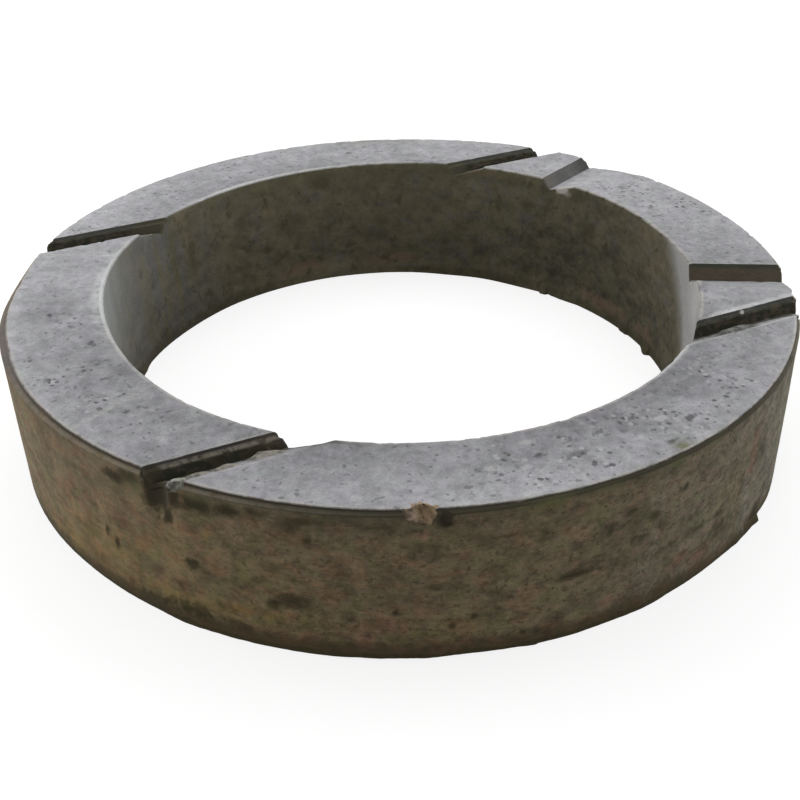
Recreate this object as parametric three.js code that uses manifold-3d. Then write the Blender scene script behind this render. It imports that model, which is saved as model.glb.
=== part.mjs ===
// Concrete culvert ring: one cast piece with a tapered bore and a grooved top face.
// Frame: millimetres, +Z up, origin on the ring's axis at the level of its foot.
// +X runs along the two straight grooves that cross the top face.

import * as THREE from 'three';
import { mergeVertices } from 'three/addons/utils/BufferGeometryUtils.js';
import Module from 'manifold-3d';

// ---- Driving dimensions ----

// Section of the ring.
const ringHeight = 150;
const outerRadiusTop = 400;
const outerRadiusFoot = 406;
const boreRadiusTop = 313;
const boreRadiusFoot = 303.5;

// The mould's top plate leaves a slightly smaller rim above a narrow ledge.
const rimHeight = 4.5;
const rimLedge = 2.5;

// Worn edges.
const rimEdgeRound = 1.5;
const boreEdgeRound = 3;
const footEdgeRound = 1.5;

// Straight grooves across the top face: a steep wall on one side, a long slope on the other.
// The same plate leaves a rim and a ledge on the steep wall, which leans in below them.
const grooveReach = 256;
const grooveWidth = 31;
const grooveDepth = 15.5;
const grooveLedge = 2.5;
const grooveWallLean = 3.5;

// Saw-tooth notches, close to radial. bearing is the direction of the wall's top edge, and
// offset is how far that edge passes from the axis. The wall drops by depth, and then a ramp
// rises to the top face, over a shorter run at the bore than at the outer wall.
const notches = [
  { bearing: 25, offset: 27, depth: 13, wallLean: 10, rampAtBore: 36, rampAtWall: 88 },
  { bearing: -28.5, offset: 29, depth: 16, wallLean: 9, rampAtBore: 32, rampAtWall: 60 },
];

// Fineness of the turned surfaces.
const ringSegments = 144;
const roundSteps = 3;
const notchSteps = 6;

// Cutting tools stand this far proud of what they cut.
const overshoot = 20;

const concrete = new THREE.MeshStandardMaterial({
  name: 'cast_concrete',
  color: new THREE.Color(0.52, 0.52, 0.5),
  roughness: 0.92,
  metalness: 0,
});

const wasm = await Module();
wasm.setup();

// ---- Solids ----

// A closed mesh becomes a solid that can be cut.
function toSolid(geometry) {
  const bare = geometry.clone();
  bare.deleteAttribute('normal');
  bare.deleteAttribute('uv');
  const merged = mergeVertices(bare, 1e-4);
  const vertProperties = Float32Array.from(merged.attributes.position.array);
  const triVerts = Uint32Array.from(merged.index.array);
  return new wasm.Manifold(new wasm.Mesh({ numProp: 3, vertProperties, triVerts }));
}

function toGeometry(solid) {
  const mesh = solid.getMesh();
  const geometry = new THREE.BufferGeometry();
  geometry.setAttribute('position', new THREE.BufferAttribute(mesh.vertProperties, 3));
  geometry.setIndex(new THREE.BufferAttribute(mesh.triVerts, 1));
  geometry.computeVertexNormals();
  return geometry;
}

// ---- Ring body ----

// A quarter-round on a corner of the section, from one angle to another.
function addRound(points, centreR, centreZ, radius, fromDeg, toDeg) {
  for (let i = 0; i <= roundSteps; i += 1) {
    const angle = THREE.MathUtils.degToRad(fromDeg + ((toDeg - fromDeg) * i) / roundSteps);
    const r = centreR + radius * Math.cos(angle);
    const z = centreZ + radius * Math.sin(angle);
    points.push(new THREE.Vector2(r, z));
  }
}

// The section, once round and closed on itself: foot, outer wall, ledge, rim, top face, bore.
function ringSection() {
  const ledgeZ = ringHeight - rimHeight;
  const points = [];
  addRound(points, outerRadiusFoot - footEdgeRound, footEdgeRound, footEdgeRound, -90, 0);
  points.push(new THREE.Vector2(outerRadiusTop + rimLedge, ledgeZ));
  points.push(new THREE.Vector2(outerRadiusTop, ledgeZ));
  addRound(points, outerRadiusTop - rimEdgeRound, ringHeight - rimEdgeRound, rimEdgeRound, 0, 90);
  addRound(points, boreRadiusTop + boreEdgeRound, ringHeight - boreEdgeRound, boreEdgeRound, 90, 180);
  addRound(points, boreRadiusFoot + footEdgeRound, footEdgeRound, footEdgeRound, 180, 270);
  points.push(points[0].clone());
  return points;
}

// LatheGeometry turns about +Y, so the ring is tipped up to stand on +Z.
function ringBody() {
  const lathe = new THREE.LatheGeometry(ringSection(), ringSegments);
  lathe.rotateX(Math.PI / 2);
  return toSolid(lathe);
}

// ---- Straight grooves ----

// The cutter's section, drawn with the wall's top edge at zero and the slope towards -Y.
function grooveCutter(wallY) {
  const profile = new THREE.Shape();
  profile.moveTo(0, 0);
  profile.lineTo(0, overshoot);
  profile.lineTo(-grooveWidth, overshoot);
  profile.lineTo(-grooveWidth, 0);
  profile.lineTo(-grooveLedge - grooveWallLean, -grooveDepth);
  profile.lineTo(-grooveLedge, -rimHeight);
  profile.lineTo(0, -rimHeight);
  profile.closePath();

  const length = 2 * (outerRadiusFoot + overshoot);
  const cutter = new THREE.ExtrudeGeometry(profile, { depth: length, bevelEnabled: false });
  const across = new THREE.Vector3(0, 1, 0);
  const up = new THREE.Vector3(0, 0, 1);
  const along = new THREE.Vector3(1, 0, 0);
  cutter.applyMatrix4(new THREE.Matrix4().makeBasis(across, up, along));
  cutter.translate(-length / 2, wallY, ringHeight);
  return toSolid(cutter);
}

// ---- Saw-tooth notches ----

// The section is drawn with a ramp one unit long, and each step along the notch stretches
// the ramp to its own run, so that the ramp fans out from the bore to the outer wall.
function notchCutter(notch) {
  const { bearing, offset, depth, wallLean, rampAtBore, rampAtWall } = notch;
  const profile = new THREE.Shape();
  profile.moveTo(0, 0);
  profile.lineTo(0, overshoot);
  profile.lineTo(-wallLean - 1, overshoot);
  profile.lineTo(-wallLean - 1, 0);
  profile.lineTo(-wallLean, -depth);
  profile.closePath();

  const start = boreRadiusFoot - overshoot;
  const end = outerRadiusFoot + overshoot;
  const options = { depth: end - start, steps: notchSteps, bevelEnabled: false };
  const cutter = new THREE.ExtrudeGeometry(profile, options);

  const position = cutter.attributes.position;
  const fan = (rampAtWall - rampAtBore) / (outerRadiusTop - boreRadiusTop);
  for (let i = 0; i < position.count; i += 1) {
    const pastWall = position.getX(i) + wallLean;
    if (pastWall < -1e-6) {
      const reach = start + position.getZ(i) - boreRadiusTop;
      position.setX(i, -wallLean + pastWall * (rampAtBore + fan * reach));
    }
  }

  const angle = THREE.MathUtils.degToRad(bearing);
  const along = new THREE.Vector3(Math.cos(angle), Math.sin(angle), 0);
  const across = new THREE.Vector3(-Math.sin(angle), Math.cos(angle), 0);
  const up = new THREE.Vector3(0, 0, 1);
  cutter.applyMatrix4(new THREE.Matrix4().makeBasis(across, up, along));
  const origin = along.multiplyScalar(start).addScaledVector(across, offset);
  cutter.translate(origin.x, origin.y, ringHeight);
  return toSolid(cutter);
}

// ---- The cast piece ----

function culvertRing() {
  let solid = ringBody();
  solid = solid.subtract(grooveCutter(grooveReach));
  solid = solid.subtract(grooveCutter(grooveWidth - grooveReach));
  for (const notch of notches) {
    solid = solid.subtract(notchCutter(notch));
  }
  const mesh = new THREE.Mesh(toGeometry(solid), concrete);
  mesh.name = 'culvert_ring';
  return mesh;
}

const part = new THREE.Group();
part.name = 'concrete_culvert_ring';
part.add(culvertRing());

export default part;
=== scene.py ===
import math

import bpy
import numpy as np
from mathutils import Matrix, Vector


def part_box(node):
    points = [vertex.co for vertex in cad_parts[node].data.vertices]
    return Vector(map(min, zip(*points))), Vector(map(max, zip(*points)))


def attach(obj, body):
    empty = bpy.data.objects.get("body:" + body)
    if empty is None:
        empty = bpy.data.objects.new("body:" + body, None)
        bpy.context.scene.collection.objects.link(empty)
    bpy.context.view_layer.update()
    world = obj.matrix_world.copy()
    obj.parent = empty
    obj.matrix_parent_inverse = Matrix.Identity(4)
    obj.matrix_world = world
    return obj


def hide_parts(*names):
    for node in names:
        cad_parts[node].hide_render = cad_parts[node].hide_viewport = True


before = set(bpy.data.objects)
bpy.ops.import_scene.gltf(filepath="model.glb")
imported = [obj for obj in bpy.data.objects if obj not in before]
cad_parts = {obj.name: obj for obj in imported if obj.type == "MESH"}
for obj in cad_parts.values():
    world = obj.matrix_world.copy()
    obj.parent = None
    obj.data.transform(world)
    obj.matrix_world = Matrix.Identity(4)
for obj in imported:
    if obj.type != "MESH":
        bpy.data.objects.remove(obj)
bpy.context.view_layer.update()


# ---------------------------------------------------------------------------------------
# Culvert ring
# One low, thick ring of plain concrete, cast in a steel mould and struck while green. The
# mould's top plate leaves a narrow rim strip above a ledge, its bars leave two straight
# grooves and two saw-tooth notches, and years in the ground have stained the sides.

foot_corner, top_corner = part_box("culvert_ring")
RING_HEIGHT = top_corner.z
FOOT_RADIUS = top_corner.x
RIM_RADIUS = 0.400
BORE_RADIUS = 0.3122
BORE_FOOT_RADIUS = 0.3018

# The mould's top plate, and the worn corners.
PLATE_THICKNESS = 0.0036
LEDGE_WIDTH = 0.0040
LEDGE_FALL = 0.0016
RIM_ROUND = 0.0012
BORE_ROUND = 0.0026
FOOT_ROUND = 0.0008
FOOT_SHORTFALL = 0.0004

# The ring came out of the mould a little out of round. Each swell gives its bearing, its
# half angle and how far it moves that edge or adds to that size.
RIM_SWELLS = [
    (38, 20, 0.0074), (78, 28, 0.0050), (155, 9, -0.0046), (174, 14, -0.0030), (-145, 25, -0.0008),
]
RIM_SLANT_SWELLS = [(174, 16, 0.0034)]
PLATE_SWELLS = [(-84, 36, -0.0018), (176, 24, 0.0010)]
LEDGE_SWELLS = [(-84, 36, -0.0025), (188, 40, 0.0004)]
FOOT_SWELLS = [
    (42, 20, 0.0050), (-95, 8, 0.0014), (-55, 5, 0.0018), (165, 40, -0.0014), (-157, 10, -0.0012),
]
BORE_SWELLS = [
    (178, 30, -0.0092), (-34, 26, -0.0046), (-8, 14, -0.0038), (62, 34, 0.0045), (122, 12, -0.0025),
]
BORE_FOOT_SWELLS = [(34, 8, -0.0034), (52, 7, -0.0026), (124, 10, -0.0015)]

# Straight grooves: a steep wall with the plate's ledge on it, and a long slope up from it.
# bearing is the direction they run in, and offset is how far the wall's top edge passes
# from the axis.
GROOVES = [
    {"bearing": 0.65, "offset": 0.2533, "width": 0.0330},
    {"bearing": -0.36, "offset": -0.2243, "width": 0.0336},
]
GROOVE_DEPTH = 0.0155
GROOVE_LEDGE = 0.0028
GROOVE_LEAN = 0.0032
PLATE_DRAFT = 0.0008
LIP_WIDTH = 0.0012
LIP_STEP = 0.0018

# Saw-tooth notches, with their bearing and offset given in the same way. The second list says
# how strongly earth and painted shade darken each one's wall.
NOTCHES = [
    {"bearing": 25.0, "offset": 0.027, "depth": 0.013, "lean": 0.010, "bore run": 0.036, "wall run": 0.088},
    {"bearing": -28.5, "offset": 0.029, "depth": 0.016, "lean": 0.009, "bore run": 0.032, "wall run": 0.060},
]
NOTCH_GRIME_AND_SHADE = [0.85, 0.97]

# Point spacing round the ring and beside an edge, and the bearings between which the knock
# in the rim needs it finer.
SPOKE_STEP = 0.0031
EDGE_STEP = 0.0012
FINE_STEP = 0.0012
FINE_FROM, FINE_TO = 243.5, 252.0
SPOKE_TRIES = 8


def bell(bearings, middle, half_angle):
    """Soft share of a reach of the ring, 1 at its middle and fading out both ways."""
    turned = (np.asarray(bearings) - middle + 180) % 360 - 180
    return np.exp(-(turned / half_angle) ** 2)


def swollen(plain, bearings, swells):
    """A plain radius or thickness at each bearing, with the swells added."""
    total = np.full(np.shape(bearings), plain)
    for middle, half_angle, out in swells:
        total = total + out * bell(bearings, middle, half_angle)
    return total


def line_spoke(bearing, offset):
    """Bearings at which a straight line past the axis meets the rim and the bore."""
    met = []
    for plain, swells in ((RIM_RADIUS, RIM_SWELLS), (BORE_RADIUS, BORE_SWELLS)):
        turned = bearing
        for _ in range(SPOKE_TRIES):
            turned = bearing + math.degrees(math.asin(offset / float(swollen(plain, turned, swells))))
        met.append(turned % 360)
    return met


# Spokes of points run from rim to bore. Each straight edge of the top face gets spokes
# along it and close beside it, and plain spokes fill the arcs between.
ledge_end = PLATE_DRAFT + GROOVE_LEDGE
wall_foot = ledge_end + GROOVE_LEAN
groove_lines = [0.0040, 0.0014, 0.0, -PLATE_DRAFT, -ledge_end + EDGE_STEP, -ledge_end]
groove_lines += [-wall_foot + EDGE_STEP, -wall_foot, -wall_foot - 0.0018]
crest_lines = [LIP_WIDTH * 3, LIP_WIDTH, 0.0, -0.0025]
edge_spokes = [line_spoke(bearing, 0) for bearing in (FINE_FROM, FINE_TO)]
for groove in GROOVES:
    for across in groove_lines + [line - groove["width"] for line in crest_lines]:
        edge_spokes.append(line_spoke(groove["bearing"], groove["offset"] + across))
        edge_spokes.append(line_spoke(groove["bearing"] + 180, -groove["offset"] - across))
for notch in NOTCHES:
    lean = notch["lean"]
    for across in (0.004, 0.0008, 0.0, -0.0010, -lean / 2, -lean, -lean - 0.004):
        edge_spokes.append(line_spoke(notch["bearing"], notch["offset"] + across))
edge_spokes.sort()

rim_bearings = []
bore_bearings = []
for i, (rim_start, bore_start) in enumerate(edge_spokes):
    rim_end, bore_end = edge_spokes[(i + 1) % len(edge_spokes)]
    rim_gap = (rim_end - rim_start) % 360
    bore_gap = (bore_end - bore_start) % 360
    longest = max(math.radians(rim_gap) * RIM_RADIUS, math.radians(bore_gap) * BORE_RADIUS)
    step = FINE_STEP if rim_start >= FINE_FROM and rim_end <= FINE_TO else SPOKE_STEP
    count = max(1, math.ceil(longest / step))
    for k in range(count):
        rim_bearings.append(rim_start + rim_gap * k / count)
        bore_bearings.append(bore_start + bore_gap * k / count)
spoke_count = len(rim_bearings)
rim_turn = np.radians(rim_bearings)
bore_turn = np.radians(bore_bearings)
rim_way = np.stack([np.cos(rim_turn), np.sin(rim_turn)], 1)
bore_way = np.stack([np.cos(bore_turn), np.sin(bore_turn)], 1)

# The edges of the ring at each spoke.
rim_radii = swollen(RIM_RADIUS, rim_bearings, RIM_SWELLS)
strip_radii = rim_radii + swollen(0.0, rim_bearings, RIM_SLANT_SWELLS)
ledge_radii = strip_radii + swollen(LEDGE_WIDTH, rim_bearings, LEDGE_SWELLS)
foot_radii = swollen(FOOT_RADIUS - FOOT_SHORTFALL, rim_bearings, FOOT_SWELLS)
bore_radii = swollen(BORE_RADIUS, bore_bearings, BORE_SWELLS)
bore_foot_radii = swollen(BORE_FOOT_RADIUS, bore_bearings, BORE_FOOT_SWELLS)
strip_z = RING_HEIGHT - swollen(PLATE_THICKNESS, rim_bearings, PLATE_SWELLS)
ledge_z = strip_z - LEDGE_FALL
rim_edge = rim_way * rim_radii[:, None]
bore_edge = bore_way * bore_radii[:, None]

# The plain ring, row by row: outer wall, ledge, rim strip, top face, bore, underside. Each
# row also keeps the place on the top face whose grooves and notches it follows.
rows = []
row_over = []
row_finish = []


def lay_row(plan, height, over, **finish):
    """One closed row of points, the places it follows and how much of each finish it has."""
    rows.append(np.column_stack([plan, np.broadcast_to(height, spoke_count)]))
    row_over.append(over)
    row_finish.append(finish)


def wall_row(radii, height, **finish):
    lay_row(rim_way * radii[:, None], height, rim_edge, wall=1, **finish)


def bore_row(radii, height):
    lay_row(bore_way * radii[:, None], height, bore_edge, bore=1)


def top_row(share, height, **finish):
    """A row on the top face, where share goes from 0 at the rim to 1 at the bore."""
    plan = rim_edge * (1 - share) + bore_edge * share
    lay_row(plan, height, plan, **finish)


for turn in (-90, -30):
    angle = math.radians(turn)
    wall_row(foot_radii - FOOT_ROUND * (1 - math.cos(angle)), FOOT_ROUND * (1 + math.sin(angle)))
wall_shares = (np.linspace(0, 0.72, 14), np.linspace(0.765, 0.9, 4), np.linspace(0.92, 0.985, 5))
for share in np.concatenate(wall_shares):
    wall_row(foot_radii + (ledge_radii - foot_radii) * share, FOOT_ROUND + (ledge_z - FOOT_ROUND) * share)
wall_row(ledge_radii, ledge_z, ledge=1)
wall_row((strip_radii + ledge_radii) / 2, (strip_z + ledge_z) / 2, ledge=1)
wall_row(strip_radii, strip_z, strip=1, rim=1)
wall_row((strip_radii + rim_radii) / 2, (strip_z + RING_HEIGHT) / 2, strip=1, rim=1)
top_width = RIM_RADIUS - BORE_RADIUS
for turn in (0, 45):
    angle = math.radians(turn)
    finish = {"wall": 1 - turn / 90, "strip": 0.7 - turn / 90, "top": turn / 90, "edge": 1}
    share = RIM_ROUND * (1 - math.cos(angle)) / top_width
    top_row(share, RING_HEIGHT - RIM_ROUND * (1 - math.sin(angle)), rim=1, **finish)
first, last = RIM_ROUND / top_width, 1 - BORE_ROUND / top_width
for share in (first, first + 0.02, *np.linspace(0.055, 0.945, 31), last - 0.015, last):
    edge = {first: 1, last: 0.9, last - 0.015: 0.5}.get(share, 0)
    top_row(share, RING_HEIGHT, top=1, edge=edge)
for turn in (60, 30, 0):
    angle = math.radians(turn)
    share = 1 - BORE_ROUND * (1 - math.cos(angle)) / top_width
    finish = {"top": turn / 90, "bore": 1 - turn / 90, "edge": 0.8 if turn else 0}
    top_row(share, RING_HEIGHT - BORE_ROUND * (1 - math.sin(angle)), **finish)
for share in (*np.linspace(0.05, 0.25, 4), *np.linspace(0.32, 1, 12)):
    height = RING_HEIGHT - BORE_ROUND - (RING_HEIGHT - BORE_ROUND - FOOT_ROUND) * share
    bore_row(bore_radii + (bore_foot_radii - bore_radii) * share, height)
bore_row(bore_foot_radii + FOOT_ROUND, 0)
foot_outer, foot_inner = rows[0][:, :2], rows[-1][:, :2]
for share in (0.25, 0.5, 0.75):
    lay_row(foot_inner * (1 - share) + foot_outer * share, 0, foot_inner)

row_count = len(rows)
row_ids, spoke_ids = np.meshgrid(np.arange(row_count), np.arange(spoke_count), indexing="ij")
next_rows = (row_ids + 1) % row_count
next_spokes = (spoke_ids + 1) % spoke_count
quads = np.stack([
    row_ids * spoke_count + spoke_ids,
    row_ids * spoke_count + next_spokes,
    next_rows * spoke_count + next_spokes,
    next_rows * spoke_count + spoke_ids,
], -1)


def write_mark(mesh, name, values):
    """Stores a number for every point of a mesh, for the mould tree and the paint to read."""
    layer = mesh.attributes.new(name, "FLOAT", "POINT")
    layer.data.foreach_set("value", values)


def add_object(name, data):
    added = bpy.data.objects.new(name, data)
    bpy.context.scene.collection.objects.link(added)
    return added


turned_mesh = bpy.data.meshes.new("turned_ring")
turned_mesh.from_pydata(np.concatenate(rows).tolist(), [], quads.reshape(-1, 4).tolist())
for name in ("top", "wall", "bore", "rim", "strip", "ledge", "edge"):
    amounts = [float(finish.get(name, 0)) for finish in row_finish]
    write_mark(turned_mesh, name, np.repeat(amounts, spoke_count))
for axis, name in enumerate(("over_x", "over_y")):
    write_mark(turned_mesh, name, np.concatenate(row_over)[:, axis])
turned_mesh.shade_smooth()
turned_ring = add_object("turned_ring", turned_mesh)


class Field:
    """A value in a node tree, so that a rule reads as plain arithmetic."""

    def __init__(self, tree, socket):
        self.tree = tree
        self.socket = socket

    def math(self, operation, *others):
        inputs = dict(enumerate((self, *others)))
        return lay_node(self.tree, "ShaderNodeMath", inputs, operation=operation)

    def __add__(self, other):
        return self.math("ADD", other)

    def __sub__(self, other):
        return self.math("SUBTRACT", other)

    def __mul__(self, other):
        return self.math("MULTIPLY", other)

    def __truediv__(self, other):
        return self.math("DIVIDE", other)

    def __rsub__(self, other):
        return self * -1 + other

    __radd__ = __add__
    __rmul__ = __mul__

    def lower(self, other):
        return self.math("MINIMUM", other)

    def higher(self, other):
        return self.math("MAXIMUM", other)

    def ramp(self, start, end):
        """Eases from 0 to 1 as the value goes from start to end."""
        inputs = {"Value": self, "From Min": start, "From Max": end}
        return lay_node(self.tree, "ShaderNodeMapRange", inputs, interpolation_type="SMOOTHSTEP")


def lay_node(tree, kind, inputs, output=0, **options):
    """Adds a node, sets its options, feeds its inputs and hands back one of its outputs."""
    node = tree.nodes.new(kind)
    for name, value in options.items():
        setattr(node, name, value)
    for slot, value in inputs.items():
        socket = node.inputs[slot]
        if isinstance(slot, str):
            socket = next(s for s in node.inputs if s.name == slot and s.enabled)
        if isinstance(value, Field):
            tree.links.new(value.socket, socket)
        else:
            socket.default_value = value
    return Field(tree, node.outputs[output])


def split(vector):
    return [lay_node(vector.tree, "ShaderNodeSeparateXYZ", {0: vector}, output=axis) for axis in range(3)]


def join(x, y, z):
    tree = next(part.tree for part in (x, y, z) if isinstance(part, Field))
    return lay_node(tree, "ShaderNodeCombineXYZ", {0: x, 1: y, 2: z})


def noise(place, scale, detail=3.0, roughness=0.5, distortion=0.0):
    inputs = {"Vector": place, "Scale": scale, "Detail": detail}
    inputs |= {"Roughness": roughness, "Distortion": distortion}
    return lay_node(place.tree, "ShaderNodeTexNoise", inputs)


def cells(place, spacing):
    """How far a place is from the nearest of many scattered spots, and a lot drawn for each."""
    inputs = {"Vector": place, "Scale": 1 / spacing}
    gap = lay_node(place.tree, "ShaderNodeTexVoronoi", inputs)
    lot = lay_node(place.tree, "ShaderNodeTexVoronoi", inputs, output=1)
    return gap, split(lot)[0]


# Flash that squeezed out under the mould. Each reach of it gives the bearings of its two
# ends, the fade at each of them in degrees, and how far it stands out.
OUTER_FLASH = [
    (-73, -59.6, 11, 0.5, 0.0056), (-147, -108, 5, 5, 0.0018), (-92, -80, 3, 3, 0.0014),
    (-102, -99, 2, 0.5, 0.0012), (108, 131, 6, 0.6, 0.0042), (56, 68, 0.6, 5, 0.0030),
]
INNER_FLASH = [
    (-11.4, -6.3, 0.9, 4, 0.0105), (-1.5, 2.5, 1, 1.5, 0.0030), (25.2, 27.6, 0.6, 0.6, 0.0062),
    (16, 25, 4, 1, 0.0026), (141, 160, 5, 1, 0.0030),
]
FLASH_THICKNESS = 0.007

# How a cut meets the faces round it: the fillet in its corner, its shortest ramp, how softly
# its steep side changes to its slope, its worn edges, how far away its wall's grime and painted
# shade and its lip fade out, and the depth down to which all that lies under it sinks with it
# in full.
CUT_CORNER = 0.0022
SHORTEST_RUN = 0.010
SIDE_BLEND = 0.0006
EDGE_WIDTH = 0.0022
GRIME_AND_SHADE_FADE = (0.030, 0.020)
LIP_FADE = (0.0085, 0.0030)
SINKING_DEPTH = 0.010

# Where a groove is this deep, the rim strip is gone and the ledge is the edge.
STRIP_LOST = (-0.0020, -0.0070)

# Roughness of the cast faces, in metres.
SWELL_RELIEF = 0.0009
GRAIN_RELIEF = 0.0006
SLOPE_RELIEF = 0.0030
CRUMB_RELIEF = 0.0026
CRUMB_SPACING = 0.011
EDGE_WEAR = 0.0014
PIT_DEPTH = 0.0012

# Where the air holes of the top face gather: the bearing and the half angle of each reach.
HOLE_REACHES = [(-82.0, 28.0), (6.0, 16.0), (-166.0, 8.0)]

mould = bpy.data.node_groups.new("mould_and_wear", "GeometryNodeTree")
mould.interface.new_socket("Geometry", in_out="OUTPUT", socket_type="NodeSocketGeometry")
mould.interface.new_socket("Geometry", in_out="INPUT", socket_type="NodeSocketGeometry")
mould_sizes = mould.nodes.new("NodeGroupInput")
size_values = {}


def size(name, value):
    """A named input of the tree, and the value that the modifier gives it."""
    socket = mould.interface.new_socket(name, in_out="INPUT", socket_type="NodeSocketFloat")
    size_values[socket.identifier] = value
    return Field(mould, mould_sizes.outputs[name])


height = size("Ring height", RING_HEIGHT)
rim_radius = size("Rim radius", RIM_RADIUS)
bore_radius = size("Bore radius", BORE_RADIUS)
plate = size("Plate thickness", PLATE_THICKNESS)
ledge_fall = size("Ledge fall", LEDGE_FALL)
groove_depth = size("Groove depth", GROOVE_DEPTH)
groove_ledge = size("Groove ledge", GROOVE_LEDGE)
groove_lean = size("Groove lean", GROOVE_LEAN)

place = lay_node(mould, "GeometryNodeInputPosition", {})
x, y, z = split(place)
radius = lay_node(mould, "ShaderNodeVectorMath", {0: join(x, y, 0)}, output=1, operation="LENGTH")


def towards(bearing):
    """The cosine of the angle between a point's bearing and a given one."""
    turn = math.radians(bearing)
    return (x * math.cos(turn) + y * math.sin(turn)) / radius


def named(name):
    return lay_node(mould, "GeometryNodeInputNamedAttribute", {"Name": name}, data_type="FLOAT")


top_x = named("over_x")
top_y = named("over_y")


def groove_sides(across, width):
    """Heights of a groove's steep side and of its slope, measured from the top face."""
    ledge_edge = groove_ledge + PLATE_DRAFT
    strip = across * plate * (1 / PLATE_DRAFT)
    ledge = (across + PLATE_DRAFT) * ledge_fall / groove_ledge - plate
    fall = groove_depth - plate - ledge_fall
    wall = (across + ledge_edge) * fall / groove_lean - plate - ledge_fall
    lip = (across + width) * -1 * (LIP_STEP / LIP_WIDTH)
    run = width - LIP_WIDTH - ledge_edge - groove_lean
    slope = (across + width - LIP_WIDTH) * (groove_depth - LIP_STEP) / run * -1 - LIP_STEP
    return strip.higher(ledge.lower(wall)), lip.higher(slope)


def notch_sides(across, along, depth, lean, bore_run, wall_run):
    """Heights of a notch's wall and of its ramp, which fans out from bore to outer wall."""
    share = (along - bore_radius) / (rim_radius - bore_radius)
    run = (bore_run + (wall_run - bore_run) * share).higher(SHORTEST_RUN)
    wall = across * depth / lean
    ramp = (across + lean) * depth / run * -1 - depth
    return wall, ramp


def line_up(bearing, offset):
    """How far along a cut a point lies, and how far across it from the wall's top edge."""
    turn = bearing * (math.pi / 180)
    ahead, aside = turn.math("COSINE"), turn.math("SINE")
    return top_x * ahead + top_y * aside, top_y * ahead - top_x * aside - offset


# Each cut gives a height for its steep side and one for its slope, how far across it a point
# lies, how far from its other edge, its grime and painted shade, and whether it is a groove. A
# notch is cut on its own side of the ring only.
cuts = []
for number, groove in enumerate(GROOVES, 1):
    bearing, offset, width = [size(f"Groove {number} {name}", value) for name, value in groove.items()]
    along, across = line_up(bearing, offset)
    steep, slope = groove_sides(across, width)
    cuts.append((steep, slope, across, across + width, 1.0, 1))
for number, (notch, grime_and_shade) in enumerate(zip(NOTCHES, NOTCH_GRIME_AND_SHADE), 1):
    bearing, offset, *shape = [size(f"Notch {number} {name}", value) for name, value in notch.items()]
    along, across = line_up(bearing, offset)
    wall, ramp = notch_sides(across, along, *shape)
    past_middle = (along - BORE_RADIUS / 2) * 1000
    cuts.append((wall.higher(past_middle * -1), ramp, across, past_middle, grime_and_shade, 0))

# How far each point sinks, and the marks that the wear and the paint read.
drop = height * 0
steep_face = drop
slope_face = drop
cut_edge = drop
groove_face = drop
groove_step = drop
dirt_and_shade = drop
cut_lip = drop
for steep, slope, across, far_edge, grime_and_shade, is_groove in cuts:
    cut = steep.math("SMOOTH_MAX", slope, CUT_CORNER).lower(0)
    drop = drop.lower(cut)
    inside = cut.ramp(0.0, -0.0007)
    groove_face = groove_face.higher(inside * is_groove)
    ledge_start = across.ramp(-PLATE_DRAFT * 0.6, -PLATE_DRAFT)
    on_ledge = ledge_start * across.ramp(-wall_foot + GROOVE_LEAN * 0.7, -ledge_end)
    groove_step = groove_step.higher(inside * is_groove * on_ledge)
    steep_face = steep_face.higher(inside * (steep - slope).ramp(-SIDE_BLEND, SIDE_BLEND))
    dirt_and_shade = dirt_and_shade.higher(across.math("ABSOLUTE").ramp(*GRIME_AND_SHADE_FADE) * grime_and_shade)
    slope_face = slope_face.higher(inside * (slope - steep).ramp(-SIDE_BLEND, SIDE_BLEND))
    near = across.math("ABSOLUTE").lower(far_edge.math("ABSOLUTE"))
    cut_lip = cut_lip.higher(across.ramp(*LIP_FADE) * across.ramp(-SIDE_BLEND, 0.0))
    cut_edge = cut_edge.higher(near.ramp(EDGE_WIDTH, 0.0))

outward = (radius - bore_radius) / (rim_radius - bore_radius)
groove_push = drop.ramp(*STRIP_LOST) * LEDGE_WIDTH * named("rim")

point_bearing = y.math("ARCTAN2", x) * (180 / math.pi)
flash_noise = noise(place, 26.0, 2.0, 0.5).ramp(0.35, 0.60) * 0.45 + 0.55
flash_fade = z.ramp(FLASH_THICKNESS, FLASH_THICKNESS * 0.5)


def flash(reaches):
    total = drop * 0
    for start, end, start_fade, end_fade, out in reaches:
        reach = point_bearing.ramp(start, start + start_fade) * point_bearing.ramp(end, end - end_fade)
        total = total + reach * out * flash_noise
    return total * flash_fade


new_radius = radius + groove_push + flash(OUTER_FLASH) * named("wall")
new_radius = new_radius - flash(INNER_FLASH) * named("bore")
spread = new_radius / radius
follow = (z / (height - SINKING_DEPTH)).lower(1)
pressed = join(x * spread, y * spread, z + drop * follow)


def store(geometry, marks):
    """Keeps values with the points, for the wear and the paint."""
    for name, value in marks.items():
        inputs = {"Geometry": geometry, "Name": name, "Value": value}
        options = {"data_type": "FLOAT", "domain": "POINT"}
        geometry = lay_node(mould, "GeometryNodeStoreNamedAttribute", inputs, **options)
    return geometry


upper = ((named("top") + named("rim")) * 3).lower(1)
near_top = z.ramp(RING_HEIGHT - 0.020, RING_HEIGHT - 0.004)
geometry = store(Field(mould, mould_sizes.outputs["Geometry"]), {
    "groove": groove_face * upper,
    "groove_ledge": groove_step * upper,
    "grime_and_shade": dirt_and_shade,
    "near_bore": outward.ramp(0.30, 0.10),
    "outward": outward,
    "near_rim": outward.ramp(0.80, 0.97),
    "steep": steep_face * upper,
    "slope": slope_face * upper,
    "edge": named("edge").higher(cut_edge * named("top")),
    "cut_lip": cut_lip * named("top"),
    "sunk": drop * -1 / groove_depth * near_top,
})
geometry = lay_node(mould, "GeometryNodeSetPosition", {"Geometry": geometry, "Position": pressed})

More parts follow.
